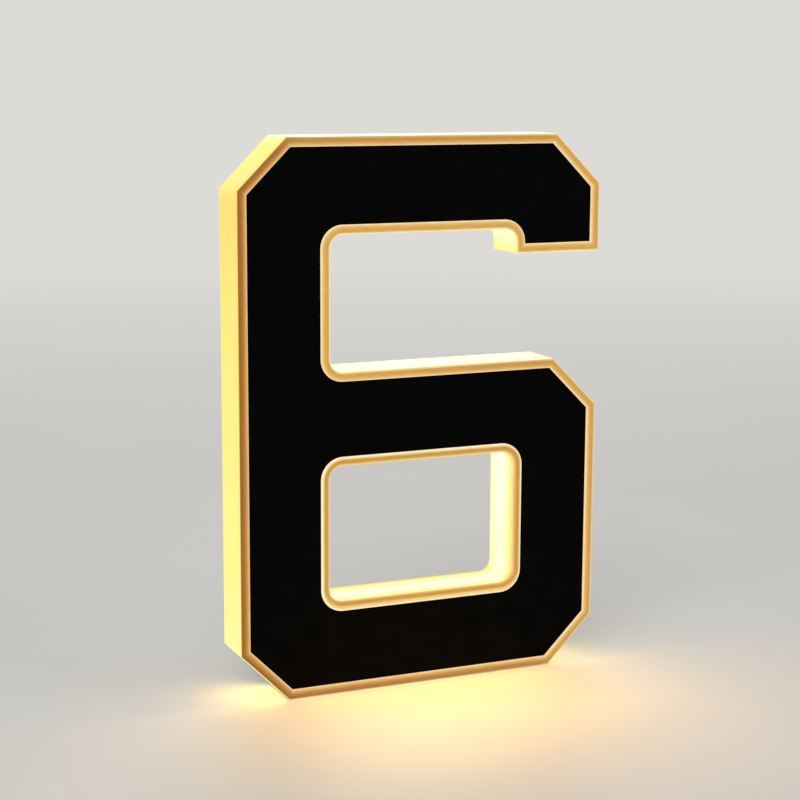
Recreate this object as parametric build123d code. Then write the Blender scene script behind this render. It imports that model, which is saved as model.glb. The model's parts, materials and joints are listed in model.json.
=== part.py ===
from build123d import *
import os
from math import hypot, radians, tan

# Illuminated block-style digit 6, millimetres. +Z is up and the black face looks along -Y.
# The origin is the middle of the edge that the digit stands on.
# "Depth" below is always the distance behind the very front of the digit, so it grows along +Y.

# Digit outline, seen from the front
height = 250.0
width = 176.0
depth = 24.0
stroke = 42.5             # width of every limb
corner_cut = 22.5         # leg of the 45 degree cuts at the corners
counter_height = 62.0     # clear height of the closed counter
hook_drop = 11.25         # how far the hook's end hangs below the top bar
opening_radius = 6.0      # round inner corners, on the open side

# Side walls and the bead that frames the face
wall = 3.0
rim_width = 4.3           # bead, seen from the front
lip = 1.2                 # bead material in front of the face's edge
tongue = 0.8              # leg of the bead that plugs in behind the wall's edge
tongue_length = 5.0
outer_bead_round = 1.0    # front edge on the open side, round the digit
counter_bead_round = 2.2  # the same, round the counter
lip_round = 0.6           # front edge beside the face

# Sheets
face_thickness = 2.0
face_gap = 0.05           # face edge to bead
reflector_thickness = 0.3
reflector_gap = 0.2
back_inset = 3.0          # back plate behind the walls' back edges
plate_thickness = 2.0
seal_width = 1.0          # silicone between the plate's edge and the wall

# Back plate fastening
block_size = 9.0
block_gap = 0.8                # bead's tongue to a block
screw_radius = 1.5
screw_play = 0.2               # in the plate
thread_play = 0.05             # in the block
screw_length = 9.0
head_radius = 2.75
head_height = 1.9
slot_width = 0.9
slot_length = 3.2
slot_depth = 1.0
left_block_spacing = 70.0      # blocks up the spine, about the middle of the height
top_block_spread = 70.0
right_block_spread = 56.0      # blocks up the side of the bowl
bottom_block_spread = 66.0
middle_block_spread = 50.0

# Rivet nuts that take the wall studs
nut_bore = 1.65
nut_radius = 3.0
nut_length = 9.0
nut_flange_radius = 4.5
nut_flange = 0.9
nut_bulge_radius = 4.3
nut_bulge = 1.6
nut_play = 0.05

# Light
board_width = 12.0
board_thickness = 1.2
board_corner = 1.0
board_end_gap = 15.0           # from the crossing of two limbs' centre lines to a board's end
bottom_board_gap = 3.0         # bottom board to the bottom wall
tape_thickness = 0.3
led_length = 3.5
led_width = 2.8
led_height = 0.8
led_pitch = 15.5
led_margin = 15.0              # board's end to its first LED
leds_per_string = 3
resistor_length = 3.2
resistor_width = 1.6
resistor_height = 0.6
resistor_offset = 4.0

# Wires
wire_diameter = 1.3
wire_rise = 9.0                # height of a link wire over the boards
wire_spacing = 5.0             # positive to negative
pad_inset = 4.0                # board's end to the link wires
feed_inset = 9.0               # board's end to the supply wires
lead_run = 7.0                 # straight part of a supply wire beside its terminal
feed_bow = 4.0                 # slack in the wire from the socket to the switch
bend_share = 0.45              # share of the shorter run that an arc takes

# Socket for the low-voltage supply
inlet_row = 28.0               # height of the socket and the switch above the bottom edge
socket_x = -15.0
bush_radius = 4.0
bush_end = 0.4                 # bush end in from the walls' back edges
socket_play = 0.1
socket_flange_radius = 6.0
socket_flange = 1.5
socket_barrel_radius = 5.0
socket_barrel = 7.0
socket_bore = 2.8
socket_bore_length = 9.6
pin_radius = 1.0
pin_root = 3.0
pin_setback = 1.0
pin_play = 0.05
washer_thickness = 1.0
socket_nut_flats = 10.0
socket_nut_thickness = 2.0
terminal_spread = 5.0
terminal_thickness = 0.6
terminal_width = 2.4
terminal_length = 3.5

# Rocker switch
switch_x = 15.0
bezel_length = 15.0
bezel_width = 10.6
bezel_thickness = 1.2
bezel_round = 1.0
switch_length = 13.0
switch_width = 8.6
switch_depth = 11.0
switch_play = 0.1
switch_wall = 0.9
ear_reach = 0.7
ear_length = 3.0
rocker_radius = 5.2            # its ends are an arc about the pivot
rocker_gap = 0.4
rocker_side_gap = 0.3
rocker_crown = 2.6             # pivot to the outer edge of the two finger faces
rocker_floor = 2.0             # pivot to its underside
rocker_tilt = 8.0              # degrees each way from level
pivot_radius = 0.8
pivot_play = 0.05
pivot_end_gap = 0.1
pivot_inset = 0.7              # pivot axis in front of the plate's outer face
blade_spread = 7.0
blade_thickness = 0.8
blade_width = 3.0
blade_length = 4.0

# Places worked out from the sizes above
left = -width / 2
right = width / 2
counter_left = left + stroke
counter_right = right - stroke
counter_top = stroke + counter_height
bowl_top = counter_top + stroke
hook_inside = height - stroke
hook_end = hook_inside - hook_drop
left_line = left + stroke / 2
right_line = right - stroke / 2
bottom_line = stroke / 2
middle_line = counter_top + stroke / 2
top_line = height - stroke / 2

face_back = lip + face_thickness
tongue_inside = wall + tongue
tongue_end = face_back + tongue_length
reflector_back = face_back + reflector_thickness
plate_back = depth - back_inset
plate_front = plate_back - plate_thickness
board_back = plate_front - tape_thickness
board_front = board_back - board_thickness
wire_level = board_front - wire_rise
block_front = tongue_end + block_gap
bottom_board_line = wall + bottom_board_gap + board_width / 2

socket_flange_back = plate_front - washer_thickness
socket_flange_front = socket_flange_back - socket_flange
socket_barrel_front = socket_flange_front - socket_barrel
socket_mouth = depth - bush_end
socket_floor = socket_mouth - socket_bore_length
inlet_wire_level = socket_barrel_front - terminal_length / 2
rocker_width = switch_width - 2 * switch_wall - 2 * rocker_side_gap
pivot_depth = plate_back - pivot_inset


def at(x, z, behind_front):
    """Point seen from the front at x, z and at a depth behind the front."""
    return (x, behind_front - depth / 2, z)


def slab(sketch, front, back):
    """Sketch drawn as seen from the front, filled between two depths."""
    plane = Plane(origin=at(0, 0, back), x_dir=(1, 0, 0), z_dir=(0, -1, 0))
    return extrude(plane * sketch, back - front)


def disc(x, z, radius, front, back):
    """Round bar along the depth."""
    return slab(Pos(x, z) * Circle(radius), front, back)


def block(x, z, length, breadth, front, back):
    """Square-edged block: length along X, breadth along Z."""
    return slab(Pos(x, z) * Rectangle(length, breadth), front, back)


def digit_outline():
    """Outer edge of the digit, with the upper opening as a bay in its right side."""
    points = [
        (left, corner_cut), (left + corner_cut, 0),
        (right - corner_cut, 0), (right, corner_cut),
        (right, bowl_top - corner_cut), (right - corner_cut, bowl_top),
        (counter_left, bowl_top), (counter_left, hook_inside),
        (counter_right, hook_inside), (counter_right, hook_end), (right, hook_end),
        (right, height - corner_cut), (right - corner_cut, height),
        (left + corner_cut, height), (left, height - corner_cut),
    ]
    sharp = make_face(Polyline(*points, close=True))
    round_places = [(counter_left, bowl_top), (counter_left, hook_inside), (counter_right, hook_inside)]
    corners = [min(sharp.vertices(), key=lambda v: hypot(v.X - x, v.Y - z)) for x, z in round_places]
    return fillet(corners, opening_radius)


def counter_outline():
    """Closed counter inside the bowl."""
    middle = Pos(0, stroke + counter_height / 2)
    return middle * RectangleRounded(counter_right - counter_left, counter_height, opening_radius)


outer_edge = digit_outline()
inner_edge = counter_outline()


def outer_inset(distance):
    """Digit outline moved into the limbs."""
    if distance == 0:
        return outer_edge
    return offset(outer_edge, -distance, kind=Kind.INTERSECTION)


def counter_inset(distance):
    """Counter outline moved into the limbs."""
    if distance == 0:
        return inner_edge
    return offset(inner_edge, distance, kind=Kind.INTERSECTION)


def outer_band(start, end):
    """Strip along the outer edge, between two distances into the limbs."""
    return outer_inset(start) - outer_inset(end)


def counter_band(start, end):
    """Strip round the counter, between two distances into the limbs."""
    return counter_inset(end) - counter_inset(start)


def digit_sheet(inset):
    """The whole digit as a flat sheet, held back from both edges."""
    return outer_inset(inset) - counter_inset(inset)


def round_front(bead, outermost, radius):
    """Rounds the outermost or the innermost edge of the bead's front."""
    loops = bead.faces().sort_by(Axis.Y)[0].wires().sort_by(SortBy.LENGTH)
    return fillet(loops[-1 if outermost else 0].edges(), radius)


def trim(band, open_outermost, open_round):
    """Bead over the wall and the face's edge, rebated for the face, with a tongue inside the wall."""
    bead = slab(band(0, rim_width), 0, face_back)
    bead = round_front(bead, open_outermost, open_round)
    bead = round_front(bead, not open_outermost, lip_round)
    rebate = slab(band(tongue_inside, rim_width), lip, face_back)
    leg = slab(band(wall, tongue_inside), face_back, tongue_end)
    return bead - rebate + leg


def side_wall(band):
    """Opal wall from behind the bead to the back of the digit."""
    return slab(band(0, wall), face_back, depth)


def edge_seal(band):
    """Silicone strip in the gap round the back plate."""
    return slab(band(wall, wall + seal_width), plate_front, plate_back)


def block_places():
    """Centres of the fixing blocks, each flat against a wall."""
    reach = wall + block_size / 2
    spine = [(left + reach, height / 2 + step * left_block_spacing) for step in (-1, 0, 1)]
    top = [(side * top_block_spread / 2, height - reach) for side in (-1, 1)]
    bowl_middle = bowl_top / 2
    bowl = [(right - reach, bowl_middle + side * right_block_spread / 2) for side in (-1, 1)]
    bottom = [(side * bottom_block_spread / 2, stroke - reach) for side in (-1, 1)]
    middle = [(side * middle_block_spread / 2, bowl_top - reach) for side in (-1, 1)]
    hook = [(right - reach, (hook_end + height - corner_cut) / 2)]
    return spine + top + bowl + bottom + middle + hook


def stud_places():
    """Rivet nuts where the outer limbs' centre lines cross."""
    return [(x, z) for x in (left_line, right_line) for z in (bottom_line, top_line)]


def fixing_block(x, z):
    hole = disc(x, z, screw_radius + thread_play, plate_back - screw_length, plate_front)
    return block(x, z, block_size, block_size, block_front, plate_front) - hole


def back_screw(x, z):
    shank = disc(x, z, screw_radius, plate_back - screw_length, plate_back)
    head = disc(x, z, head_radius, plate_back, plate_back + head_height)
    slot_front = plate_back + head_height - slot_depth
    slot_back = plate_back + head_height
    across = block(x, z, slot_length, slot_width, slot_front, slot_back)
    upright = block(x, z, slot_width, slot_length, slot_front, slot_back)
    return shank + head - across - upright


def rivet_nut(x, z):
    flange = disc(x, z, nut_flange_radius, plate_back, plate_back + nut_flange)
    barrel = disc(x, z, nut_radius, plate_back - nut_length, plate_back)
    bulge = disc(x, z, nut_bulge_radius, plate_front - nut_bulge, plate_front)
    bore = disc(x, z, nut_bore, plate_back - nut_length, plate_back + nut_flange)
    return flange + barrel + bulge - bore


def back_plate():
    plate = slab(digit_sheet(wall + seal_width), plate_front, plate_back)
    for x, z in block_places():
        plate -= disc(x, z, screw_radius + screw_play, plate_front, plate_back)
    for x, z in stud_places():
        plate -= disc(x, z, nut_radius + nut_play, plate_front, plate_back)
    plate -= disc(socket_x, inlet_row, bush_radius + socket_play, plate_front, plate_back)
    cut_length = switch_length + 2 * switch_play
    cut_width = switch_width + 2 * switch_play
    plate -= block(switch_x, inlet_row, cut_length, cut_width, plate_front, plate_back)
    return plate


def board_frames():
    """Each LED board: its centre, its length and whether it stands upright."""
    across = right_line - left_line - 2 * board_end_gap
    tall = top_line - bottom_line - 2 * board_end_gap
    short = middle_line - bottom_line - 2 * board_end_gap
    return {
        "led_board_spine": (left_line, (bottom_line + top_line) / 2, tall, True),
        "led_board_top": (0, top_line, across, False),
        "led_board_middle": (0, middle_line, across, False),
        "led_board_bottom": (0, bottom_board_line, across, False),
        "led_board_bowl": (right_line, (bottom_line + middle_line) / 2, short, True),
    }


def on_board(frame, along, aside):
    """Point on a board: along from its centre, aside across it."""
    x, z, _, upright = frame
    return (x + aside, z + along) if upright else (x + along, z + aside)


def on_board_block(frame, along, aside, length, breadth, front, back):
    x, z = on_board(frame, along, aside)
    if frame[3]:
        return block(x, z, breadth, length, front, back)
    return block(x, z, length, breadth, front, back)


def led_board(frame, front, back):
    x, z, length, upright = frame
    shape = RectangleRounded(length, board_width, board_corner)
    turned = Rot(0, 0, 90) * shape if upright else shape
    return slab(Pos(x, z) * turned, front, back)


def led_row(frame):
    """Places of the LEDs along a board."""
    room = frame[2] - 2 * led_margin
    spaces = max(1, round(room / led_pitch))
    return [room * (step / spaces - 0.5) for step in range(spaces + 1)]


def led_chips(frame):
    front = board_front - led_height
    return [
        on_board_block(frame, along, 0, led_length, led_width, front, board_front)
        for along in led_row(frame)
    ]


def resistors(frame):
    """One beside the first gap of each string of LEDs."""
    row = led_row(frame)
    front = board_front - resistor_height
    found = []
    for first in range(0, len(row) - 1, leds_per_string):
        along = (row[first] + row[first + 1]) / 2
        size = (resistor_length, resistor_width)
        found.append(on_board_block(frame, along, resistor_offset, *size, front, board_front))
    return found


def tube(points):
    """Insulated wire along straight runs joined by tangent arcs."""
    runs = [Vector(*b) - Vector(*a) for a, b in zip(points, points[1:])]
    bends = []
    for before, after in zip(runs, runs[1:]):
        shorter = min(before.length, after.length)
        bends.append(bend_share * shorter / tan(radians(before.get_angle(after)) / 2))
    route = FilletPolyline(*points, radius=bends)
    section = Plane(origin=points[0], z_dir=runs[0]) * Circle(wire_diameter / 2)
    wire = sweep(section, path=route)
    print("wire", round(route.length, 1), "bends", [round(b, 1) for b in bends],
          "volume ratio", round(wire.volume / (section.area * route.length), 4))
    return wire


def link(start, end):
    """Wire that arches from one board's pad to another's."""
    return tube([
        at(*start, board_front), at(*start, wire_level),
        at(*end, wire_level), at(*end, board_front),
    ])


def links(frames, outward):
    """Four links between boards; outward is +1 for the wires nearer the outer edge."""
    step = outward * wire_spacing / 2
    spine = frames["led_board_spine"]
    top = frames["led_board_top"]
    middle = frames["led_board_middle"]
    bottom = frames["led_board_bottom"]
    bowl = frames["led_board_bowl"]

    def end_of(frame):
        return frame[2] / 2 - pad_inset

    return [
        link(on_board(spine, end_of(spine), -step), on_board(top, -end_of(top), step)),
        link(on_board(spine, -end_of(spine), -step), on_board(bottom, -end_of(bottom), -step)),
        link(on_board(bowl, -end_of(bowl), step), on_board(bottom, end_of(bottom), -step)),
        link(on_board(bowl, end_of(bowl), step), on_board(middle, end_of(middle), step)),
    ]


def supply_lead(start_x, frame, side, aside):
    """Lead from a terminal's side face, along the inlet row and down to a board's end."""
    pad_x, pad_z = on_board(frame, side * (frame[2] / 2 - feed_inset), aside)
    return tube([
        at(start_x, inlet_row, inlet_wire_level),
        at(start_x + side * lead_run, inlet_row, inlet_wire_level),
        at(pad_x, pad_z, wire_level),
        at(pad_x, pad_z, board_front),
    ])


def positive_wires(frames):
    """Socket to switch, switch to the bottom board, and the outer wire of each link."""
    start = socket_x + terminal_spread / 2 + terminal_thickness / 2
    end = switch_x - blade_spread / 2 - blade_thickness / 2
    quarter = (end - start) / 4
    feed = tube([
        at(start, inlet_row, inlet_wire_level),
        at(start + quarter, inlet_row, inlet_wire_level),
        at(start + 2 * quarter, inlet_row + feed_bow, inlet_wire_level),
        at(end - quarter, inlet_row, inlet_wire_level),
        at(end, inlet_row, inlet_wire_level),
    ])
    outlet = switch_x + blade_spread / 2 + blade_thickness / 2
    drop = supply_lead(outlet, frames["led_board_bottom"], 1, wire_spacing / 2)
    return links(frames, 1) + [feed, drop]


def negative_wires(frames):
    """Socket to the bottom board, and the inner wire of each link."""
    outlet = socket_x - terminal_spread / 2 - terminal_thickness / 2
    return links(frames, -1) + [supply_lead(outlet, frames["led_board_bottom"], -1, wire_spacing / 2)]


def socket_body():
    body = disc(socket_x, inlet_row, socket_barrel_radius, socket_barrel_front, socket_flange_front)
    body += disc(socket_x, inlet_row, socket_flange_radius, socket_flange_front, socket_flange_back)
    body += disc(socket_x, inlet_row, bush_radius, socket_flange_back, socket_mouth)
    body -= disc(socket_x, inlet_row, socket_bore, socket_floor, socket_mouth)
    return body - disc(socket_x, inlet_row, pin_radius + pin_play, socket_floor - pin_root, socket_floor)


def socket_pin():
    return disc(socket_x, inlet_row, pin_radius, socket_floor - pin_root, socket_mouth - pin_setback)


def socket_ring(outline, front, back):
    ring = slab(Pos(socket_x, inlet_row) * outline, front, back)
    return ring - disc(socket_x, inlet_row, bush_radius + socket_play, front, back)


def socket_nut():
    hexagon = RegularPolygon(socket_nut_flats / 2, 6, major_radius=False)
    return socket_ring(hexagon, plate_back, plate_back + socket_nut_thickness)


def socket_washer():
    return socket_ring(Circle(socket_flange_radius), socket_flange_back, plate_front)


def blades(x, spread, thickness, breadth, length, back):
    """Two flat terminals side by side, in front of the piece that holds them."""
    return [
        block(x + side * spread / 2, inlet_row, thickness, breadth, back - length, back)
        for side in (-1, 1)
    ]


def socket_terminals():
    return blades(socket_x, terminal_spread, terminal_thickness, terminal_width, terminal_length,
                  socket_barrel_front)


def switch_terminals():
    return blades(switch_x, blade_spread, blade_thickness, blade_width, blade_length,
                  plate_back - switch_depth)


def pivot_bar(radius, length):
    """Round bar on the rocker's pivot axis, which runs along Z."""
    base = at(switch_x, inlet_row - length / 2, pivot_depth)
    return extrude(Plane(origin=base, z_dir=(0, 0, 1)) * Circle(radius), length)


def switch_housing():
    body_front = plate_back - switch_depth
    shape = Pos(switch_x, inlet_row) * RectangleRounded(bezel_length, bezel_width, bezel_round)
    housing = slab(shape, plate_back, plate_back + bezel_thickness)
    housing += block(switch_x, inlet_row, switch_length, switch_width, body_front, plate_back)
    ear_span = switch_length + 2 * ear_reach
    housing += block(switch_x, inlet_row, ear_span, switch_width / 2, plate_front - ear_length, plate_front)
    well_length = 2 * (rocker_radius + rocker_gap)
    well_width = switch_width - 2 * switch_wall
    well_floor = pivot_depth - rocker_radius - rocker_gap
    housing -= block(switch_x, inlet_row, well_length, well_width, well_floor, plate_back + bezel_thickness)
    return housing - pivot_bar(pivot_radius + pivot_play, switch_width + 2 * ear_reach)


def switch_rocker():
    """Two finger faces that meet in a shallow valley, drawn level and then tipped to on."""
    dip = rocker_radius * tan(radians(rocker_tilt))
    outline = make_face(Polyline(
        (-rocker_radius, -rocker_floor), (rocker_radius, -rocker_floor),
        (rocker_radius, rocker_crown), (0, rocker_crown - dip), (-rocker_radius, rocker_crown),
        close=True,
    ))
    shape = outline & Circle(rocker_radius)
    base = at(switch_x, inlet_row - rocker_width / 2, pivot_depth)
    body = extrude(Plane(origin=base, x_dir=(1, 0, 0), z_dir=(0, 0, 1)) * shape, rocker_width)
    level = body + pivot_bar(pivot_radius, switch_width - 2 * pivot_end_gap)
    pivot = Axis(at(switch_x, inlet_row, pivot_depth), (0, 0, 1))
    return level.rotate(pivot, rocker_tilt)


def save(name, pieces):
    """One file for each named piece; a list is a group of separate solids."""
    shape = Compound(children=list(pieces)) if isinstance(pieces, list) else pieces
    export_step(shape, f"parts/{name}.step")


os.makedirs("parts", exist_ok=True)
boards = board_frames()

save("face_panel", slab(digit_sheet(tongue_inside + face_gap), lip, face_back))
save("reflector_sheet", slab(digit_sheet(tongue_inside + reflector_gap), face_back, reflector_back))
save("outer_trim", trim(outer_band, True, outer_bead_round))
save("counter_trim", trim(counter_band, False, counter_bead_round))
save("outer_wall", side_wall(outer_band))
save("counter_wall", side_wall(counter_band))
save("back_plate", back_plate())
save("outer_edge_seal", edge_seal(outer_band))
save("counter_edge_seal", edge_seal(counter_band))
save("fixing_blocks", [fixing_block(x, z) for x, z in block_places()])
save("back_screws", [back_screw(x, z) for x, z in block_places()])
save("rivet_nuts", [rivet_nut(x, z) for x, z in stud_places()])

for board_name, board_frame in boards.items():
    save(board_name, led_board(board_frame, board_front, board_back))
save("board_tapes", [led_board(frame, board_back, plate_front) for frame in boards.values()])
save("led_chips", [chip for frame in boards.values() for chip in led_chips(frame)])
save("led_resistors", [chip for frame in boards.values() for chip in resistors(frame)])

save("positive_wires", positive_wires(boards))
save("negative_wires", negative_wires(boards))
save("socket_body", socket_body())
save("socket_pin", socket_pin())
save("socket_nut", socket_nut())
save("socket_washer", socket_washer())
save("socket_terminals", socket_terminals())
save("switch_housing", switch_housing())
save("switch_rocker", switch_rocker())
save("switch_terminals", switch_terminals())
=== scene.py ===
import json
import math

import bmesh
import bpy
from mathutils import Matrix, Vector


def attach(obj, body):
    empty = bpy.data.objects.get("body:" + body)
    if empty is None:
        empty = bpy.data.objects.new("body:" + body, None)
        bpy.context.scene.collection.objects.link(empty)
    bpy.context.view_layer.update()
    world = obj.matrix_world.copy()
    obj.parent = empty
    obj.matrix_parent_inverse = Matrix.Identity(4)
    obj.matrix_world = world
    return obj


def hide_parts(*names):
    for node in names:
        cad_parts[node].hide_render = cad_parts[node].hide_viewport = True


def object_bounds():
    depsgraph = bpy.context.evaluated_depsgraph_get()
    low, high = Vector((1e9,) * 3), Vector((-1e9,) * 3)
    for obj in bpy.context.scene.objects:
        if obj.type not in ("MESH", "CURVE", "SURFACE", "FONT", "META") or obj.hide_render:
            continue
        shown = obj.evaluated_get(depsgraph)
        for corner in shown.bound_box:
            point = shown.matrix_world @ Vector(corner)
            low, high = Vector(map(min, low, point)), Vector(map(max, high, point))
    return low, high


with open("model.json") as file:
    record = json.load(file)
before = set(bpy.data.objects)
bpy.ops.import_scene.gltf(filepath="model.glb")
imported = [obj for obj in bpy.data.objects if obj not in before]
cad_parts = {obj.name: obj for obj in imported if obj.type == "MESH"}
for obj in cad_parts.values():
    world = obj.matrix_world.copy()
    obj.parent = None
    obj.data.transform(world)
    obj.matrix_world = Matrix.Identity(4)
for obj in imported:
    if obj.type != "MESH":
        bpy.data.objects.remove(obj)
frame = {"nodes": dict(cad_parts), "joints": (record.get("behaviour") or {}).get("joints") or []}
cad_low, cad_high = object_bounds()
MM = 0.001

# Sizes of the digit that its outer box doesn't give
STROKE = 42.5 * MM
CORNER_CUT = 22.5 * MM
HOOK_DROP = 11.25 * MM
COUNTER_HEIGHT = 62.0 * MM
OPENING_RADIUS = 6.0 * MM       # rounded corners of the counter and of the upper opening
WALL = 3.0 * MM
RIM = 4.3 * MM                  # bead, seen from the front
LIP = 1.2 * MM                  # the face lies this deep behind the bead's lip
BEAD_DEPTH = 3.2 * MM           # the wall begins this deep behind the bead's front
TONGUE = 0.8 * MM               # leg of the bead that plugs in behind the wall's edge
TONGUE_END = 8.2 * MM

LEFT, FRONT, BOTTOM = cad_low
RIGHT, BACK, TOP = cad_high
DEPTH = BACK - FRONT
COUNTER_LEFT = LEFT + STROKE
COUNTER_RIGHT = RIGHT - STROKE
COUNTER_TOP = STROKE + COUNTER_HEIGHT
BOWL_TOP = COUNTER_TOP + STROKE
HOOK_INSIDE = TOP - STROKE
HOOK_END = HOOK_INSIDE - HOOK_DROP


# ---------------------------------------------------------------- materials

NOISE_LOW, NOISE_HIGH = 0.3, 0.7                # most values of a noise lie between these
MIX_FIRST, MIX_SECOND, MIX_RESULT = 6, 7, 2     # a Mix node's sockets for colours
CLOUD_SCALE = 0.06                              # clouds of colour are about 17 grains across
CLOUD_STOPS = (0.35, 0.65)                      # noise values that give a cloud's two colours
GRAIN_STRENGTH = 0.35
PEEL_STRENGTH = 0.2


def linear(hex_colour):
    """sRGB hex colour as linear red, green, blue and alpha 1."""
    parts = [int(hex_colour[i:i + 2], 16) / 255 for i in (1, 3, 5)]
    return tuple(p / 12.92 if p <= 0.04045 else ((p + 0.055) / 1.055) ** 2.4 for p in parts) + (1.0,)


def add(tree, kind, inputs=None, stops=None, **settings):
    """Adds a node with its settings, its values or links, and its hex colour stops if it is a ramp."""
    made = tree.nodes.new(kind)
    for name, value in settings.items():
        setattr(made, name, value)
    for key, value in (inputs or {}).items():
        if isinstance(value, bpy.types.NodeSocket):
            tree.links.new(value, made.inputs[key])
        else:
            made.inputs[key].default_value = value
    if stops:
        elements = made.color_ramp.elements
        while len(elements) < len(stops):
            elements.new(1.0)
        for element, (place, colour) in zip(elements, stops):
            element.position = place
            element.color = linear(colour)
    return made


def new_material(name, **sockets):
    """Principled material; sockets are plain values on the shader itself."""
    material = bpy.data.materials.new(name)
    material.use_nodes = True
    tree = material.node_tree
    shader = tree.nodes["Principled BSDF"]
    for key, value in sockets.items():
        shader.inputs[key.replace("_", " ")].default_value = value
    return material, tree, shader


def plain_finish(name, grain, depth, colours, roughness, **sockets):
    """Surface with bumps of a real grain size and depth. Its colour and its roughness each drift between
    two values in coarser clouds."""
    material, tree, shader = new_material(name, **sockets)
    place = add(tree, "ShaderNodeTexCoord").outputs["Object"]
    fine = add(tree, "ShaderNodeTexNoise", {"Vector": place, "Scale": 1 / grain, "Detail": 3.0})
    cloud = add(tree, "ShaderNodeTexNoise", {"Vector": place, "Scale": CLOUD_SCALE / grain, "Detail": 2.0})
    colour = add(tree, "ShaderNodeValToRGB", {"Fac": cloud.outputs["Fac"]},
                 stops=tuple(zip(CLOUD_STOPS, colours)))
    rough = add(tree, "ShaderNodeMapRange",
                {"Value": cloud.outputs["Fac"], "From Min": NOISE_LOW, "From Max": NOISE_HIGH,
                 "To Min": roughness[0], "To Max": roughness[1]})
    bump = add(tree, "ShaderNodeBump",
               {"Height": fine.outputs["Fac"], "Strength": GRAIN_STRENGTH, "Distance": depth})
    tree.links.new(colour.outputs["Color"], shader.inputs["Base Color"])
    tree.links.new(rough.outputs["Result"], shader.inputs["Roughness"])
    tree.links.new(bump.outputs["Normal"], shader.inputs["Normal"])
    return material


def black_cast_acrylic():
    """Satin black cast acrylic, 2 mm. Its matt sanded skin gives back almost no light, so it reads as a
    flat black with only a faint cloud where it was wiped."""
    return plain_finish("satin_black_acrylic", 0.6 * MM, 0.005 * MM, ("#010101", "#040404"),
                        (0.55, 0.6), IOR=1.49, Specular_IOR_Level=0.03)


# Colours of the lit acrylic as it grows brighter: amber, yellow, then nearly white
LIT_ACRYLIC = (
    (0.0, "#E8AC54"), (0.2, "#FBD86E"), (0.35, "#FBEA7C"), (0.5, "#FCF28A"), (0.62, "#FDF89A"),
    (0.75, "#FEFDB4"), (0.88, "#FFFFCE"), (1.0, "#FFFFE8"))


def lit_colour(tree, place, ripple_size, ripple):
    """Colour of the light at each place, from the glow levels with their painted light and shade, slightly
    uneven as the LEDs leave it.
    """
    glow = add(tree, "ShaderNodeAttribute", attribute_name="glow")
    noise = add(tree, "ShaderNodeTexNoise", {"Vector": place, "Scale": 1 / ripple_size, "Detail": 1.0})
    uneven = add(tree, "ShaderNodeMapRange",
                 {"Value": noise.outputs["Fac"], "From Min": NOISE_LOW, "From Max": NOISE_HIGH,
                  "To Min": 1 - ripple, "To Max": 1 + ripple})
    level = add(tree, "ShaderNodeMath", {0: glow.outputs["Fac"], 1: uneven.outputs["Result"]},
                operation="MULTIPLY")
    ramp = add(tree, "ShaderNodeValToRGB", {"Fac": level.outputs["Value"]}, stops=LIT_ACRYLIC)
    return ramp.outputs["Color"]


def orange_peel(tree, place, shader, size, depth):
    """Faint orange peel of an extruded or heat-bent sheet."""
    fine = add(tree, "ShaderNodeTexNoise", {"Vector": place, "Scale": 1 / size, "Detail": 2.0})
    bump = add(tree, "ShaderNodeBump",
               {"Height": fine.outputs["Fac"], "Strength": PEEL_STRENGTH, "Distance": depth})
    tree.links.new(bump.outputs["Normal"], shader.inputs["Normal"])


def opal_wall():
    """Opal cast acrylic, 3 mm, heat-bent and lit from inside: a glow with light and shade painted into it
    by which way each wall faces, which the LEDs leave slightly uneven. Its body colour is a dark amber, so
    that daylight doesn't wash the glow out."""
    material, tree, shader = new_material(
        "lit_opal_acrylic", Base_Color=linear("#2A1C0B"), Roughness=0.3, IOR=1.49,
        Specular_IOR_Level=0.08, Emission_Strength=1.0)
    place = add(tree, "ShaderNodeTexCoord").outputs["Object"]
    lit = lit_colour(tree, place, ripple_size=38 * MM, ripple=0.07)
    tree.links.new(lit, shader.inputs["Emission Color"])
    orange_peel(tree, place, shader, size=1.1 * MM, depth=0.02 * MM)
    return material


# Colours over a bead's front, from its open edge to the lip beside the face: partly the light through the
# acrylic, partly painted shade and painted highlight lines along its rounded edges
DARK_BEAD = (
    (0.0, "#935D20"), (0.3, "#A26A2A"), (0.5, "#B07838"), (0.72, "#CE9B53"), (0.9, "#E6B875"),
    (1.0, "#F0C889"))
PALE_BEAD = (
    (0.0, "#FFEAB8"), (0.14, "#F2D08E"), (0.25, "#D4A456"), (0.45, "#D4A24E"), (0.7, "#E0AE60"),
    (0.88, "#F0C986"), (1.0, "#FFE8BC"))
COUNTER_BEAD = (
    (0.0, "#FFE8A0"), (0.1, "#F4D482"), (0.24, "#E0B060"), (0.42, "#CB9744"), (0.58, "#C69242"),
    (0.7, "#D4A85E"), (0.79, "#EFCD8C"), (0.88, "#FDE8B8"), (1.0, "#FFF2CA"))
COUNTER_FLOOR_BEAD = (
    (0.0, "#E8BC6A"), (0.15, "#CD9948"), (0.3, "#C48E40"), (0.45, "#D6A85A"), (0.58, "#EFCC80"),
    (0.75, "#F4D68C"), (0.88, "#FFEBB4"), (1.0, "#FFF2CA"))

FADE_START = 0.25               # a bead's side begins to glow at this share of its fade's depth
DIE_LINE_SPACING = 1.2 * MM     # about three times the real one, so that the lines show
DIE_LINE_LENGTH = 7.0 * MM
DIE_LINE_NOISE = (0.36, 0.64)   # noise values that give the darkest and the palest line
DIE_LINE_CONTRAST = 0.05


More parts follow.
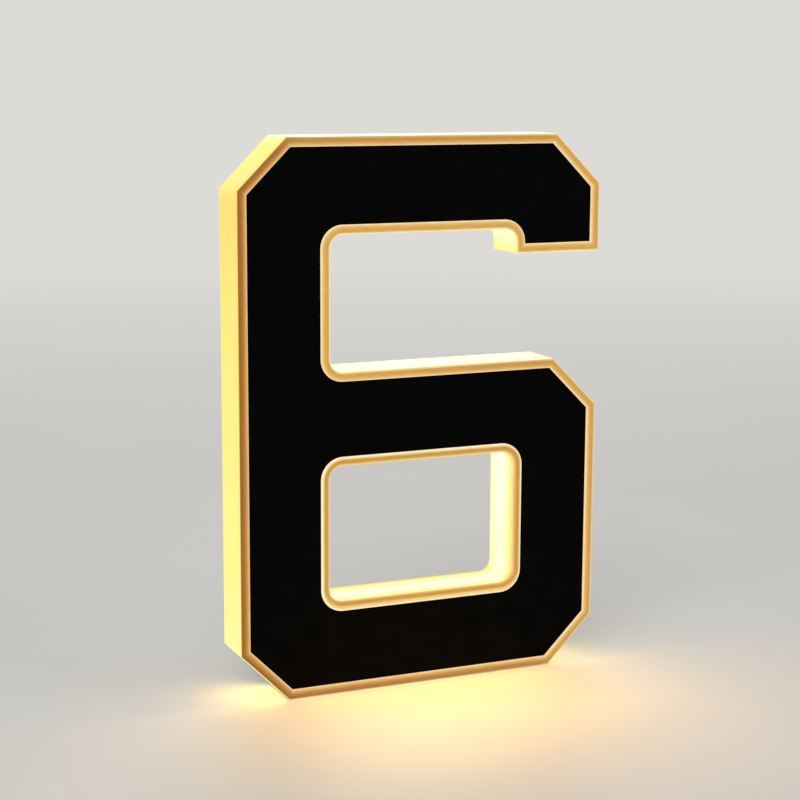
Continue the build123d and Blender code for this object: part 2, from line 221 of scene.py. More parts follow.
def drawn_lines(tree, colour, across, apart):
    """The colour with the faint lines that the extruder's die draws along the bead."""
    along = add(tree, "ShaderNodeMath", {0: apart.outputs["X"], 1: apart.outputs["Z"]}, operation="ADD")
    lengthways = add(tree, "ShaderNodeMath", {0: along.outputs["Value"], 1: 1 / DIE_LINE_LENGTH},
                     operation="MULTIPLY")
    crossways = add(tree, "ShaderNodeMath", {0: across, 1: RIM / DIE_LINE_SPACING}, operation="MULTIPLY")
    place = add(tree, "ShaderNodeCombineXYZ",
                {"X": crossways.outputs["Value"], "Y": lengthways.outputs["Value"]})
    noise = add(tree, "ShaderNodeTexNoise",
                {"Vector": place.outputs["Vector"], "Scale": 1.0, "Detail": 2.0})
    level = add(tree, "ShaderNodeMapRange",
                {"Value": noise.outputs["Fac"],
                 "From Min": DIE_LINE_NOISE[0], "From Max": DIE_LINE_NOISE[1],
                 "To Min": 1 - DIE_LINE_CONTRAST, "To Max": 1 + DIE_LINE_CONTRAST})
    lined = add(tree, "ShaderNodeVectorMath", {0: colour, "Scale": level.outputs["Result"]},
                operation="SCALE")
    return lined.outputs["Vector"]


def opal_bead(name, dark_stops, pale_stops, fade_depth):
    """Extruded opal acrylic bead. Its side glows as the wall does, and fades to that glow over the given
    depth. Its front only gets what creeps round the face's edge: amber brown where it is thick, pale where
    its lip is thin; painted shade and painted highlight lines across its rounded front add to that, and it
    is painted paler where the pale attribute says."""
    material, tree, shader = new_material(
        name, Base_Color=linear("#1E1408"), Roughness=0.4, IOR=1.49, Specular_IOR_Level=0.12,
        Emission_Strength=1.0)
    place = add(tree, "ShaderNodeTexCoord").outputs["Object"]
    apart = add(tree, "ShaderNodeSeparateXYZ", {"Vector": place})
    across = add(tree, "ShaderNodeAttribute", attribute_name="across").outputs["Fac"]
    pale = add(tree, "ShaderNodeAttribute", attribute_name="pale").outputs["Fac"]
    # painted light and shade on the bead's front: from the dark ramp to the pale one by the painted
    # paleness
    darkest, palest = [add(tree, "ShaderNodeValToRGB", {"Fac": across}, stops=stops).outputs["Color"]
                       for stops in (dark_stops, pale_stops)]
    front = add(tree, "ShaderNodeMix", {"Factor": pale, MIX_FIRST: darkest, MIX_SECOND: palest},
                data_type="RGBA")
    lined = drawn_lines(tree, front.outputs[MIX_RESULT], across, apart)
    behind = add(tree, "ShaderNodeMapRange",
                 {"Value": apart.outputs["Y"], "From Min": FRONT + FADE_START * fade_depth,
                  "From Max": FRONT + fade_depth}, interpolation_type="SMOOTHSTEP")
    open_half = add(tree, "ShaderNodeMath", {0: across, 1: 0.5}, operation="LESS_THAN")
    side = add(tree, "ShaderNodeMath", {0: behind.outputs["Result"], 1: open_half.outputs["Value"]},
               operation="MULTIPLY")
    lit = lit_colour(tree, place, ripple_size=30 * MM, ripple=0.05)
    colour = add(tree, "ShaderNodeMix",
                 {"Factor": side.outputs["Value"], MIX_FIRST: lined, MIX_SECOND: lit}, data_type="RGBA")
    tree.links.new(colour.outputs[MIX_RESULT], shader.inputs["Emission Color"])
    orange_peel(tree, place, shader, size=0.9 * MM, depth=0.02 * MM)
    return material


def powder_coat():
    """Black polyester powder coat on aluminium sheet: a fine leather-like texture with a soft sheen.
    The grains are 0.9 mm, about three times the real ones, so that they show."""
    return plain_finish("black_powder_coat", 0.9 * MM, 0.45 * MM, ("#121213", "#1E1E20"), (0.42, 0.6))


def silicone():
    """Black silicone sealant, tooled smooth: soft and slightly uneven."""
    return plain_finish("black_silicone", 1.2 * MM, 0.05 * MM, ("#0D0D0E", "#161617"), (0.42, 0.6),
                        IOR=1.41)


def black_nylon():
    """Moulded black nylon of the switch and the socket: fine spark-eroded texture."""
    return plain_finish("moulded_black_nylon", 0.35 * MM, 0.06 * MM, ("#131314", "#1D1D1E"),
                        (0.3, 0.42), IOR=1.53)


def white_marking():
    """Pad-printed white ink of the switch's two marks: flat, with a faint mottle."""
    return plain_finish("white_pad_print", 0.3 * MM, 0.01 * MM, ("#D9D9D6", "#EDEDEA"), (0.45, 0.55))


def zinc_plate():
    """Clear zinc plate on steel: pale, faintly blue metal with a fine pickled grain."""
    return plain_finish("zinc_plated_steel", 0.4 * MM, 0.015 * MM, ("#A9ABAC", "#C6C8C8"), (0.26, 0.4),
                        Metallic=1.0)


def nickel_plate():
    """Bright nickel plate on the socket's brass nut: a clean, slightly warm mirror."""
    return plain_finish("nickel_plated_brass", 0.4 * MM, 0.01 * MM, ("#B9B4AB", "#D4CFC6"),
                        (0.14, 0.26), Metallic=1.0)


def brass():
    """Stamped and drawn brass of pins and terminals: yellow metal with a soft shine."""
    return plain_finish("drawn_brass", 0.5 * MM, 0.01 * MM, ("#B38B41", "#CFA95B"), (0.22, 0.36),
                        Metallic=1.0)


def white_film():
    """White reflector film, micro-pored: dead matt."""
    return plain_finish("white_reflector_film", 0.4 * MM, 0.01 * MM, ("#E2E2DF", "#F0F0EE"),
                        (0.7, 0.85))


def sawn_acrylic():
    """Sawn opal acrylic blocks, with a frosted cut surface."""
    return plain_finish("sawn_opal_acrylic", 0.8 * MM, 0.04 * MM, ("#D6D6D0", "#E8E8E2"),
                        (0.55, 0.75), IOR=1.49)


def white_solder_mask():
    """White solder mask, printed over the aluminium core of the LED boards: smooth, half gloss."""
    return plain_finish("white_solder_mask", 0.9 * MM, 0.01 * MM, ("#DCDEDA", "#ECEEEA"), (0.3, 0.42))


def thermal_tape():
    """Grey thermal tape, fibre filled: matt and slightly rough."""
    return plain_finish("grey_thermal_tape", 0.6 * MM, 0.03 * MM, ("#85888B", "#9B9EA1"), (0.6, 0.75))


def led_phosphor():
    """Cast silicone with yellow phosphor over the LED chips, lit: a warm even glow. The chips are shut
    in, so they aren't sampled as lamps."""
    material = plain_finish("lit_led_phosphor", 0.3 * MM, 0.02 * MM, ("#E9C54B", "#F6DA72"), (0.4, 0.5),
                            Emission_Color=linear("#FFD9A0"), Emission_Strength=1.0)
    material.cycles.emission_sampling = "NONE"
    return material


def resistor_body():
    """Black glazed top of the chip resistors: glassy."""
    return plain_finish("black_resistor_glaze", 0.4 * MM, 0.01 * MM, ("#0B0B0C", "#151517"),
                        (0.25, 0.4))


def wire_insulation(name, dark, light):
    """PVC insulation, drawn through a die: smooth with a soft gloss."""
    return plain_finish(name, 0.7 * MM, 0.01 * MM, (dark, light), (0.32, 0.45), IOR=1.53)


# ---------------------------------------------------------------- meshes

# Finer rounding than the solids have
BEND_ROUND = 0.5 * MM           # where the side wall bends at the corner cuts
OUTER_BEAD_ROUND = 0.7 * MM
COUNTER_BEAD_ROUND = 2.2 * MM
LIP_ROUND = 0.6 * MM
BACK_EDGE_ROUND = 0.5 * MM
CROWN = 0.15 * MM               # the middle of the bead's front stands this much proud of its edges

# Extra points, between which the light changes
SHOULDER = 6.0 * MM             # from a sharp corner to the point on each side of it
RIM_BAND = 1.3 * MM             # from a wall's back edge to the last evenly spaced point before it

# Fineness of the meshes
ARC_STEPS = 4
EDGE_STEPS = 3
CORNER_STEPS = 10
WALL_STEPS = 8
SHARP = math.radians(30.0)      # edges sharper than this aren't shaded smooth, and bends get rounded
SAME_POINT = 0.002 * MM
SAME_INSET = 1e-9


def bevel(bm, geom, offset, segments, affect):
    """Rounds edges or corners evenly."""
    bmesh.ops.bevel(bm, geom=geom, offset=offset, offset_type="OFFSET", affect=affect,
                    segments=segments, profile=0.5, material=-1)


def with_shoulders(corners, rounded):
    """Adds a point on each side of every sharp corner, where its edges are long enough, and gives the
    points with the rounded ones' places in the list."""
    points, round_places = [], []
    for i, corner in enumerate(corners):
        here = Vector(corner)
        if i in rounded:
            round_places.append(len(points))
            points.append(here)
            continue
        for j in (i - 1, i, (i + 1) % len(corners)):
            way = Vector(corners[j]) - here
            room = way.length - (OPENING_RADIUS if j in rounded else 0)
            if j == i or room > 2 * SHOULDER:
                points.append(here + SHOULDER * way.normalized())
    return points, round_places


def digit_loop():
    """Points of the digit's outline as x, z, and the rounded ones' places in the list."""
    corners = [
        (LEFT, CORNER_CUT), (LEFT + CORNER_CUT, BOTTOM),
        (RIGHT - CORNER_CUT, BOTTOM), (RIGHT, CORNER_CUT),
        (RIGHT, BOWL_TOP - CORNER_CUT), (RIGHT - CORNER_CUT, BOWL_TOP),
        (COUNTER_LEFT, BOWL_TOP), (COUNTER_LEFT, HOOK_INSIDE),
        (COUNTER_RIGHT, HOOK_INSIDE), (COUNTER_RIGHT, HOOK_END), (RIGHT, HOOK_END),
        (RIGHT, TOP - CORNER_CUT), (RIGHT - CORNER_CUT, TOP),
        (LEFT + CORNER_CUT, TOP), (LEFT, TOP - CORNER_CUT),
    ]
    return with_shoulders(corners, (6, 7, 8))


def counter_loop(grow):
    """The counter's corners, moved out into the limbs, and their places in the list."""
    low, high = STROKE - grow, COUNTER_TOP + grow
    left, right = COUNTER_LEFT - grow, COUNTER_RIGHT + grow
    return [(left, low), (right, low), (right, high), (left, high)], (0, 1, 2, 3)


def flat_face(bm, loop, radius, depth, forwards):
    """Flat face inside a loop of points, with its rounded corners bevelled, that looks forwards, along
    -Y, or backwards."""
    corners, rounded = loop
    verts = [bm.verts.new((x, FRONT + depth, z)) for x, z in corners]
    bm.faces.new(verts)
    bevel(bm, [verts[i] for i in rounded], radius, CORNER_STEPS, "VERTICES")
    face = bm.faces[:][0]
    face.normal_update()
    if (face.normal.y < 0) != forwards:
        face.normal_flip()
    return face


def sweep(bm, face, stations, mark):
    """Draws the face inwards and along the depth through stations of (inset, depth), and deletes it at
    the end. mark is called with the face at each station, and with its inset."""
    inset, depth = stations[0]
    mark(face, inset)
    forwards = face.normal.y < 0
    for next_inset, next_depth in stations[1:]:
        inwards = next_inset - inset
        along = (depth - next_depth) if forwards else (next_depth - depth)
        if abs(inwards) > SAME_INSET:
            bmesh.ops.inset_region(bm, faces=[face], thickness=inwards, depth=along,
                                   use_even_offset=True, use_boundary=True)
        else:
            made = bmesh.ops.extrude_face_region(bm, geom=[face])
            old = face
            face = next(g for g in made["geom"] if isinstance(g, bmesh.types.BMFace))
            bmesh.ops.delete(bm, geom=[old], context="FACES_ONLY")
            bmesh.ops.translate(bm, verts=face.verts[:], vec=(0, next_depth - depth, 0))
        inset, depth = next_inset, next_depth
        mark(face, inset)
    bmesh.ops.delete(bm, geom=[face], context="FACES_ONLY")


def swept_band(loop, radius, forwards, stations, distance):
    """Open band swept round a loop. Its points keep how far across the rim they lie, from 0 at the open
    edge to 1 at the lip; distance gives how far from the open edge an inset is."""
    bm = bmesh.new()
    across = bm.verts.layers.float.new("across")

    def mark(face, inset):
        for vert in face.verts:
            vert[across] = distance(inset) / RIM

    face = flat_face(bm, loop, radius, stations[0][1], forwards)
    sweep(bm, face, stations, mark)
    return bm


def joined(bands):
    """One mesh from several bands, with their shared loops merged and every face turned outwards."""
    whole = bmesh.new()
    for band in bands:
        mesh = bpy.data.meshes.new("band")
        band.to_mesh(mesh)
        band.free()
        whole.from_mesh(mesh)
        bpy.data.meshes.remove(mesh)
    bmesh.ops.remove_doubles(whole, verts=whole.verts[:], dist=SAME_POINT)
    bmesh.ops.recalc_face_normals(whole, faces=whole.faces[:])
    return whole


def outer_band(forwards, stations):
    """Band round the digit's outline, swept from its open edge into the limbs."""
    return swept_band(digit_loop(), OPENING_RADIUS, forwards, stations, lambda inset: inset)


def counter_band(forwards, stations):
    """Band round the counter, swept the other way: out of the limbs towards its open edge."""
    grow = max(inset for inset, _ in stations)
    turned = [(grow - inset, depth) for inset, depth in reversed(stations)]
    return swept_band(counter_loop(grow), OPENING_RADIUS + grow, forwards, turned,
                      lambda inset: grow - inset)


def arc(start, corner, end):
    """Quarter round from start to end whose tangents meet at the corner."""
    found = []
    for i in range(1, ARC_STEPS + 1):
        turn = math.radians(90) * i / ARC_STEPS
        a, b = 1 - math.sin(turn), 1 - math.cos(turn)
        found.append(tuple(c + (s - c) * a + (e - c) * b for s, c, e in zip(start, corner, end)))
    return found


def bead_front(open_round):
    """Bead's front as (distance into the limb, depth), from behind its open edge to the face."""
    crest_open = (open_round, CROWN)
    crest_lip = (RIM - LIP_ROUND, CROWN)
    stations = [(0.0, BEAD_DEPTH), (0.0, open_round + CROWN)]
    stations += arc((0.0, open_round + CROWN), (0.0, CROWN), crest_open)
    middle = (crest_open[0] + crest_lip[0]) / 2
    stations += [(middle, 0.0), crest_lip]
    stations += arc(crest_lip, (RIM, CROWN), (RIM, LIP_ROUND + CROWN))
    return stations + [(RIM, LIP)]


def bead_back():
    """Bead's back: over the wall's edge, round the tongue and along the rebate to the lip."""
    return [(0.0, BEAD_DEPTH), (WALL, BEAD_DEPTH), (WALL, TONGUE_END), (WALL + TONGUE, TONGUE_END),
            (WALL + TONGUE, LIP), (RIM, LIP)]


def wall_section():
    """Side wall from behind the bead, round its back edge and back along its inside."""
    r = BACK_EDGE_ROUND
    span = DEPTH - RIM_BAND - BEAD_DEPTH
    stations = [(0.0, BEAD_DEPTH + span * i / WALL_STEPS) for i in range(WALL_STEPS + 1)]
    stations += [(0.0, DEPTH - r)]
    stations += arc((0.0, DEPTH - r), (0.0, DEPTH), (r, DEPTH))
    stations += [(WALL - r, DEPTH)]
    stations += arc((WALL - r, DEPTH), (WALL, DEPTH), (WALL, DEPTH - r))
    return stations + [(WALL, BEAD_DEPTH)]


def close_front(bm):
    """Closes a wall's front edge, where the bead sits."""
    open_edges = [e for e in bm.edges if e.is_boundary]
    bmesh.ops.bridge_loops(bm, edges=open_edges)
    bmesh.ops.recalc_face_normals(bm, faces=bm.faces[:])


def break_bends(bm):
    """Softens each bend of a wall, as heat bending leaves it."""
    bends = [e for e in bm.edges
             if e.is_manifold and abs(e.verts[0].co.y - e.verts[1].co.y) > BACK_EDGE_ROUND
             and e.calc_face_angle(0) > SHARP]
    bevel(bm, bends, BEND_ROUND, EDGE_STEPS, "EDGES")


def piece_from(bm, name, material):
    """Mesh object at the origin, shaded smooth except at sharp edges."""
    mesh = bpy.data.meshes.new(name)
    for face in bm.faces:
        face.smooth = True
    for edge in bm.edges:
        edge.smooth = edge.is_manifold and edge.calc_face_angle(0) < SHARP
    bm.to_mesh(mesh)
    bm.free()
    mesh.materials.append(material)
    made = bpy.data.objects.new(name, mesh)
    bpy.context.scene.collection.objects.link(made)
    return made


# ---------------------------------------------------------------- light and shade painted on walls and beads

# Brightness of the walls, as places on LIT_ACRYLIC: at the front, in the middle and at the back. The
# sign's own glow, with light and shade painted into it by which way a wall faces
COUNTER_FLOOR = (0.42, 0.92, 0.12)
COUNTER_SIDE = (0.2, 0.97, 0.76)
OPENING_FLOOR = (0.85, 1.0, 0.86)
OPENING_SIDE = (0.76, 0.86, 0.84)
OUTSIDE_LOW = (0.58, 0.66, 0.56)
OUTSIDE_HIGH = (0.17, 0.21, 0.17)
OUTSIDE_TOP = 0.95              # the top and the foot are as bright all over, painted lighter than the sides
OUTSIDE_FOOT = 0.9
OPENING_BLEND = 2               # powers by which the painted light changes as a wall turns to face up or down
OUTSIDE_BLEND = 3
HOOK_FALL = (0.69, 1.15)        # the hook's inner wall, at its foot and its top, against OPENING_SIDE: painted shade at the foot, painted light at the top
CEILING_FALL = 0.2              # painted shade: the openings' ceilings are that much darker
RIM_GAIN = 0.35                 # painted highlight, partly the glow that escapes there: the outer wall's back edge is that much brighter
RIM_LIT = 0.8 * RIM_BAND        # points this near to the back belong to that edge
BESIDE = RIM + 0.5 * MM         # points this near to an opening belong to it
ROUND_STRETCH = math.radians(8.0)   # a wall that turns by less than this at a point is gently rounded
EDGE_ON = 0.1                   # a front or a back has less than this of its direction in x and z
SAME_ACROSS = 0.001             # a face whose places across the rim differ by less lies along it

# Paleness of the outline's bead, from 0 on DARK_BEAD to 1 on PALE_BEAD: painted light and shade, paler at
# the right and darker at the left and the foot
OUTLINE_PALE = 0.55             # where it runs along the top
RIGHTWARD_GAIN = 0.78           # added where it runs up the right, taken off where it runs up the left
DOWNWARD_FALL = 0.35            # taken off where it runs along the foot
OUTLINE_PALEST = 0.85           # limit, reached at the right
UNDERSIDE = -0.5                # the hook's underside looks down by more than this


def beside_opening(place, low, high):
    """True beside the opening, between the two limbs, that begins and ends at these heights."""
    across = COUNTER_LEFT - BESIDE < place.x < COUNTER_RIGHT + BESIDE
    return across and low - BESIDE < place.z < high + BESIDE


def in_counter(place):
    return beside_opening(place, STROKE, COUNTER_TOP)


def in_upper_opening(place):
    return beside_opening(place, BOWL_TOP, HOOK_INSIDE)


def at_depth(levels, share):
    """Brightness at a share of the wall's depth, from 0 at the front to 1 at the back."""
    front, middle, back = levels
    end = front if share < 0.5 else back
    return middle + (end - middle) * (2 * share - 1) ** 2


def opening_glow(direction, place, share):
    """Brightness of a wall of the counter or of the upper opening, painted by which way it faces: lighter
    facing up, darker on the ceilings.
    """
    floor, side = (COUNTER_FLOOR, COUNTER_SIDE) if in_counter(place) else (OPENING_FLOOR, OPENING_SIDE)
    up = max(direction.y, 0) ** OPENING_BLEND
    down = max(-direction.y, 0) ** OPENING_BLEND
    level = at_depth(floor, share) * up + at_depth(side, share) * (1 - up)
    level *= 1 - CEILING_FALL * down
    if place.x > 0 and place.z > BOWL_TOP + RIM:
        rise = min(max((place.z - HOOK_END) / HOOK_DROP, 0), 1)
        level *= HOOK_FALL[0] + (HOOK_FALL[1] - HOOK_FALL[0]) * rise
    return level


def outside_glow(direction, place, share):
    """Brightness of the outer wall, which falls from the foot upwards: painted light and shade, with the
    top, the foot and the back edge painted lighter.
    """
    height = (place.z - BOTTOM) / (TOP - BOTTOM)
    low, high = at_depth(OUTSIDE_LOW, share), at_depth(OUTSIDE_HIGH, share)
    up = max(direction.y, 0) ** OUTSIDE_BLEND
    down = max(-direction.y, 0) ** OUTSIDE_BLEND
    level = (low + (high - low) * height) * (1 - up - down)
    level += OUTSIDE_TOP * up + OUTSIDE_FOOT * down
    if place.y > BACK - RIM_LIT:
        level += RIM_GAIN
    return level


def wall_glow(direction, place):
    """Brightness of a wall that faces a direction in x and z: the sign's glow, with light and shade
    painted by that direction.
    """
    share = (place.y - FRONT) / DEPTH
    if in_counter(place) or in_upper_opening(place):
        return opening_glow(direction, place, share)
    return outside_glow(direction, place, share)


def outwards(face, vert):
    """Direction, in x and z, that a wall faces at a corner of one of its faces."""
    gentle = face.normal.angle(vert.normal, 0) < ROUND_STRETCH
    normal = vert.normal if gentle else face.normal
    flat = Vector((normal.x, normal.z))
    return flat.normalized() if flat.length > EDGE_ON else Vector((0.0, 0.0))


def open_side(face, across):
    """Direction, in x and z, from the lip towards the open edge over one face of a bead."""
    corners = sorted(face.verts, key=lambda v: v[across])
    if corners[-1][across] - corners[0][across] < SAME_ACROSS:
        return Vector((face.normal.x, face.normal.z))
    half = len(corners) // 2
    way = sum((v.co for v in corners[:half]), Vector()) / half
    way -= sum((v.co for v in corners[half:]), Vector()) / (len(corners) - half)
    return Vector((way.x, way.z)).normalized()


def painted_paleness(way, place):
    """How pale a bead's front is, as painted light and shade: least at the left and the foot, most at the
    right and the hook, and in the counter only along its floor."""
    if in_counter(place):
        return max(way.y, 0.0)
    if in_upper_opening(place) or (way.y < UNDERSIDE and place.z > BOWL_TOP):
        return 1.0
    value = OUTLINE_PALE + RIGHTWARD_GAIN * way.x + DOWNWARD_FALL * min(way.y, 0.0)
    return min(max(value, 0.0), OUTLINE_PALEST)


def write_corners(bm, name, value):
    """Writes a value to each face corner, and gives the corners at one point their mean, so that
    nothing jumps at a bend."""
    layer = bm.loops.layers.float.new(name)
    for face in bm.faces:
        for loop in face.loops:
            loop[layer] = value(face, loop.vert)
    for vert in bm.verts:
        mean = sum(loop[layer] for loop in vert.link_loops) / len(vert.link_loops)
        for loop in vert.link_loops:
            loop[layer] = mean


def mark_glow(bm):
    """Writes how brightly each face corner is lit, with the light and shade that wall_glow paints."""
    bm.normal_update()
    write_corners(bm, "glow", lambda face, vert: wall_glow(outwards(face, vert), vert.co))


def mark_pale(bm):
    """Writes the painted paleness of a bead's front at each face corner."""
    across = bm.verts.layers.float["across"]
    write_corners(bm, "pale", lambda face, vert: painted_paleness(open_side(face, across), vert.co))


# ---------------------------------------------------------------- walls, beads and marks

def show(bm, name, material, node):
    """Shows the finished mesh in place of a node of the solid model."""
    made = piece_from(bm, name, material)
    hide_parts(node)
    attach(made, "housing")


def make_walls():
    """Side walls of heat-bent sheet, round the outline and round the counter."""
    finish = opal_wall()
    outer = joined([outer_band(False, wall_section())])
    close_front(outer)
    mark_glow(outer)
    break_bends(outer)
    show(outer, "outer_side_wall", finish, "outer_wall")
    counter = joined([counter_band(False, wall_section())])
    close_front(counter)
    mark_glow(counter)
    show(counter, "counter_side_wall", finish, "counter_wall")


def make_beads():
    """Beads that frame the black face, round the outline and round the counter."""
    outer = joined([outer_band(True, bead_front(OUTER_BEAD_ROUND)), outer_band(False, bead_back())])
    counter = joined([counter_band(True, bead_front(COUNTER_BEAD_ROUND)),
                      counter_band(False, bead_back())])
    for bm in (outer, counter):
        mark_glow(bm)
        mark_pale(bm)
    outer_finish = opal_bead("lit_opal_bead", DARK_BEAD, PALE_BEAD, OUTER_BEAD_ROUND + CROWN)
    counter_finish = opal_bead("lit_opal_counter_bead", COUNTER_BEAD, COUNTER_FLOOR_BEAD, BEAD_DEPTH)
    show(outer, "outer_bead", outer_finish, "outer_trim")
    show(counter, "counter_bead", counter_finish, "counter_trim")


# The line for on and the ring for off, printed on the rocker's two finger faces
ROCKER_TILT = math.radians(8.0)
ROCKER_RADIUS = 5.2 * MM        # from the pivot to its ends
ROCKER_CROWN = 2.6 * MM         # from the pivot to the outer edges of the two faces
MARK_PLACE = 2.5 * MM           # from the valley between the faces to a mark's middle
MARK_SIZE = 2.4 * MM
MARK_LINE = 0.45 * MM
MARK_ROUND = 0.3 * MARK_LINE
MARK_THICKNESS = 0.04 * MM
MARK_LIFT = 0.2 * MARK_THICKNESS    # of a mark's middle, so that its underside is in the plastic
RING_STEPS = 40


def on_line():
    """Upright line with rounded corners, flat in X and Y, from a square with sides of 1."""
    bm = bmesh.new()
    bmesh.ops.create_grid(bm, x_segments=1, y_segments=1, size=0.5)
    bmesh.ops.scale(bm, verts=bm.verts[:], vec=(MARK_LINE, MARK_SIZE, 1))
    bevel(bm, bm.verts[:], MARK_ROUND, EDGE_STEPS, "VERTICES")
    return bm


def off_ring():
    """Ring, flat in X and Y."""
    bm = bmesh.new()
    bmesh.ops.create_circle(bm, cap_ends=True, segments=RING_STEPS, radius=MARK_SIZE / 2)
    disc = bm.faces[:]
    bmesh.ops.inset_region(bm, faces=disc, thickness=MARK_LINE, use_boundary=True, use_even_offset=True)
    bmesh.ops.delete(bm, geom=disc, context="FACES")
    return bm


def make_marks():
    """The two marks on the rocker's finger faces, which slope down to the valley between them."""
    pivot = next(joint["pos_m"] for joint in frame["joints"] if joint["name"] == "switch_tilt")
    valley = ROCKER_CROWN - ROCKER_RADIUS * math.tan(ROCKER_TILT)
    ink = white_marking()
    for name, bm, side in (("on_mark", on_line(), -1), ("off_mark", off_ring(), 1)):
        bmesh.ops.solidify(bm, geom=bm.faces[:], thickness=MARK_THICKNESS)
        middle = sum((v.co for v in bm.verts), Vector()) / len(bm.verts)
        bmesh.ops.translate(bm, verts=bm.verts[:], vec=(0, 0, MARK_LIFT - middle.z))
        on_face = (Matrix.Translation(pivot) @ Matrix.Rotation(ROCKER_TILT, 4, "Z")
                   @ Matrix.Translation((0, valley, 0)) @ Matrix.Rotation(side * ROCKER_TILT, 4, "Z")
                   @ Matrix.Translation((side * MARK_PLACE, 0, 0))
                   @ Matrix.Rotation(math.radians(-90), 4, "X"))
        bmesh.ops.transform(bm, matrix=on_face, verts=bm.verts[:])
        bmesh.ops.recalc_face_normals(bm, faces=bm.faces[:])
        mark = piece_from(bm, name, ink)
        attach(mark, "rocker")


# ---------------------------------------------------------------- camera, floor and lamps

CAMERA_PLACE = Vector((-355.8, -782.7, 281.9)) * MM
CAMERA_AZIMUTH = math.radians(-24.027)
CAMERA_ELEVATION = math.radians(10.021)
CAMERA_ROLL = math.radians(0.263)
CAMERA_LENS = 86.28             # millimetres, as the sensor's width
SENSOR_WIDTH = 36.0
NEAREST_SEEN = 10 * MM
FLOOR_RADIUS = 12.0             # metres
FLOOR_STEPS = 64
FLOOR_GAP = 0.2 * MM            # between the floor and the foot, so that they don't share a plane
FLOOR_FADE = (0.5, 1.8)         # metres from the sign between which the floor fades
FLOOR_CLOUD = 125 * MM          # size of the floor's faint clouds
BACKDROP = linear("#DCDBD8")
SOFT_LIGHT = 0.5                # strength of the white sky that lights the sign
SPILL_COLOUR = (1.0, 0.54, 0.09)    # linear red, green and blue of the lit acrylic's warm light
SPILL_GAP = 0.2 * MM            # the side spills stand this far out from, and below, their cuts' middles
LAMP_AIM = (0, 0, 0.12)         # near the sign's middle, in metres


def make_camera():
    """Camera at the photograph's viewing angle."""
    data = bpy.data.cameras.new("photo_camera")
    data.lens = CAMERA_LENS
    data.sensor_width = SENSOR_WIDTH
    data.clip_start = NEAREST_SEEN
    camera = bpy.data.objects.new("photo_camera", data)
    a, e = CAMERA_AZIMUTH, CAMERA_ELEVATION
    back = Vector((math.sin(a) * math.cos(e), -math.cos(a) * math.cos(e), math.sin(e)))
    turn = (-back).to_track_quat("-Z", "Y").to_matrix()
    roll = Matrix.Rotation(CAMERA_ROLL, 3, "Z")
    camera.matrix_world = Matrix.Translation(CAMERA_PLACE) @ (turn @ roll).to_4x4()
    bpy.context.scene.collection.objects.link(camera)
    bpy.context.scene.camera = camera


def floor_material():
    """Matt pale floor that fades into the background far from the sign."""
    material, tree, shader = new_material("pale_floor", Roughness=0.5, Specular_IOR_Level=0.25)
    place = add(tree, "ShaderNodeTexCoord").outputs["Object"]
    cloud = add(tree, "ShaderNodeTexNoise", {"Vector": place, "Scale": 1 / FLOOR_CLOUD, "Detail": 4.0})
    colour = add(tree, "ShaderNodeValToRGB", {"Fac": cloud.outputs["Fac"]},
                 stops=[(0.3, "#C7C5C1"), (0.7, "#C9C7C3")])
    tree.links.new(colour.outputs["Color"], shader.inputs["Base Color"])
    reach = add(tree, "ShaderNodeVectorMath", {0: place}, operation="LENGTH")
    far = add(tree, "ShaderNodeMapRange",
              {"Value": reach.outputs["Value"], "From Min": FLOOR_FADE[0], "From Max": FLOOR_FADE[1]})
    seen = add(tree, "ShaderNodeLightPath")
    amount = add(tree, "ShaderNodeMath", {0: far.outputs["Result"], 1: seen.outputs["Is Camera Ray"]},
                 operation="MULTIPLY")
    backdrop = add(tree, "ShaderNodeEmission", {"Color": BACKDROP, "Strength": 1.0})
    mix = add(tree, "ShaderNodeMixShader",
              {0: amount.outputs["Value"], 1: shader.outputs["BSDF"], 2: backdrop.outputs["Emission"]})
    tree.links.new(mix.outputs["Shader"], tree.nodes["Material Output"].inputs["Surface"])
    return material


def make_floor():
    bm = bmesh.new()
    bmesh.ops.create_circle(bm, cap_ends=True, segments=FLOOR_STEPS, radius=FLOOR_RADIUS)
    bmesh.ops.translate(bm, verts=bm.verts[:], vec=(0, 0, -FLOOR_GAP))
    piece_from(bm, "floor", floor_material())


def make_sky():
    """Pale background where the camera sees it, and soft white light everywhere else."""
    world = bpy.data.worlds.new("studio")
    bpy.context.scene.world = world
    world.use_nodes = True
    tree = world.node_tree
    tree.nodes.clear()
    seen = add(tree, "ShaderNodeLightPath")
    backdrop = add(tree, "ShaderNodeBackground", {"Color": BACKDROP, "Strength": 1.0})
    soft = add(tree, "ShaderNodeBackground", {"Color": (1, 1, 1, 1), "Strength": SOFT_LIGHT})
    mix = add(tree, "ShaderNodeMixShader",
              {0: seen.outputs["Is Camera Ray"], 1: soft.outputs["Background"],
               2: backdrop.outputs["Background"]})
    out = add(tree, "ShaderNodeOutputWorld")
    tree.links.new(mix.outputs["Shader"], out.inputs["Surface"])


def add_lamp(name, place, aim, size, power):
    """Soft area lamp that shines from a place towards another; size is its length and its breadth."""
    data = bpy.data.lights.new(name, "AREA")
    data.shape = "RECTANGLE"
    data.size, data.size_y = size
    data.energy = power
    lamp = bpy.data.objects.new(name, data)
    lamp.location = place
    lamp.rotation_euler = (Vector(aim) - Vector(place)).to_track_quat("-Z", "Y").to_euler()
    bpy.context.scene.collection.objects.link(lamp)
    return lamp


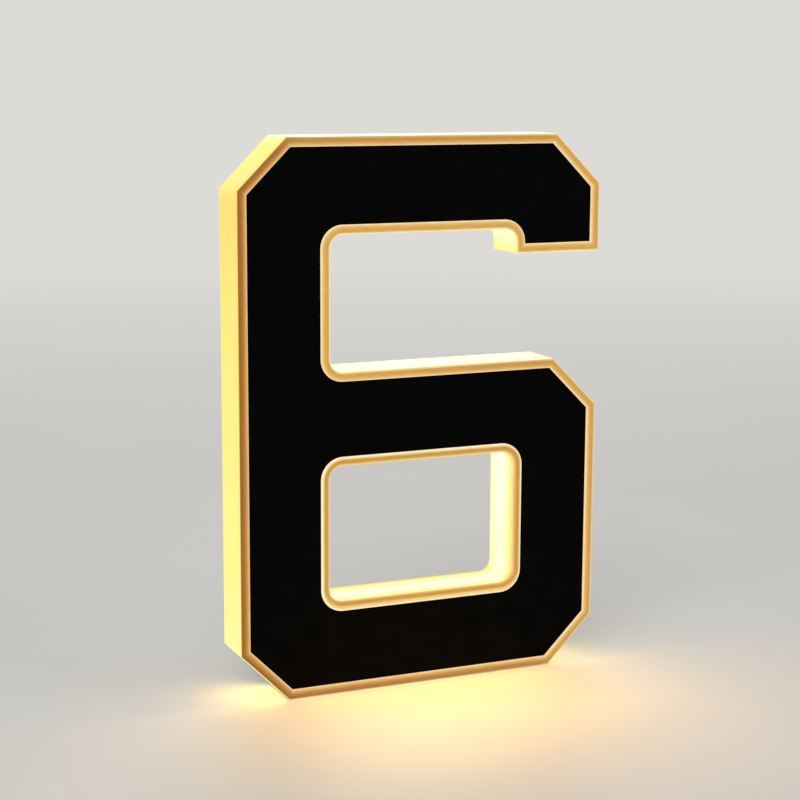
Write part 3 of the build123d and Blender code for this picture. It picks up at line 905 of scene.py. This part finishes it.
def add_spill():
    """Warm light that the sign throws on the floor in front of its foot and beside its two lower corner
    cuts. The lamps stand in for the walls' light there, and they aren't seen themselves."""
    foot = RIGHT - LEFT - 2 * CORNER_CUT
    cut = CORNER_CUT / 2 - SPILL_GAP
    spills = (      # name, place, what it shines at, length and breadth, watts
        ("foot_spill", (0, FRONT - 5 * MM, 12 * MM), (0, FRONT - 17 * MM, 0), (foot, 4 * MM), 0.01),
        ("front_pool", (0, FRONT - 8 * MM, 70 * MM), (0, FRONT - 120 * MM, 0), (foot, 30 * MM), 0.2),
        ("left_spill", (LEFT + cut, 0, cut), (LEFT, 0, 0), (22 * MM, 28 * MM), 0.009),
        ("right_spill", (RIGHT - cut, 0, cut), (RIGHT, 0, 0), (22 * MM, 28 * MM), 0.0035),
    )
    for name, place, aim, size, power in spills:
        lamp = add_lamp(name, place, aim, size, power)
        lamp.data.color = SPILL_COLOUR
        lamp.visible_camera = False
        lamp.visible_glossy = False


def add_studio_lamps():
    lamps = (       # name, place and side in metres, watts
        ("key", (-1.0, -1.1, 1.5), 1.2, 16.0),
        ("fill", (1.3, -0.9, 1.0), 1.4, 7.0),
        ("back", (0.5, 1.4, 1.3), 1.2, 10.0),
    )
    for name, place, size, power in lamps:
        add_lamp(name, place, LAMP_AIM, (size, size), power)


# ---------------------------------------------------------------- the sign

def dress(nodes, material):
    """Gives nodes of the solid model their finish."""
    for node in nodes:
        mesh = frame["nodes"][node].data
        mesh.materials.clear()
        mesh.materials.append(material)


bpy.context.scene.view_settings.view_transform = "Standard"

make_camera()
make_floor()
make_sky()
add_spill()
add_studio_lamps()

make_walls()
make_beads()
make_marks()

dress(["face_panel"], black_cast_acrylic())
dress(["back_plate"], powder_coat())
dress(["reflector_sheet"], white_film())
dress(["fixing_blocks"], sawn_acrylic())
dress(["outer_edge_seal", "counter_edge_seal", "socket_washer"], silicone())
dress(["back_screws", "rivet_nuts"], zinc_plate())
dress(["socket_nut"], nickel_plate())
dress(["socket_pin", "socket_terminals", "switch_terminals"], brass())
dress(["socket_body", "switch_housing", "switch_rocker"], black_nylon())
boards = ["led_board_" + limb for limb in ("spine", "top", "middle", "bottom", "bowl")]
dress(boards, white_solder_mask())
dress(["board_tapes"], thermal_tape())
dress(["led_chips"], led_phosphor())
dress(["led_resistors"], resistor_body())
dress(["positive_wires"], wire_insulation("red_pvc_insulation", "#8E0E0E", "#A81A17"))
dress(["negative_wires"], wire_insulation("black_pvc_insulation", "#0E0E0F", "#1A1A1B"))
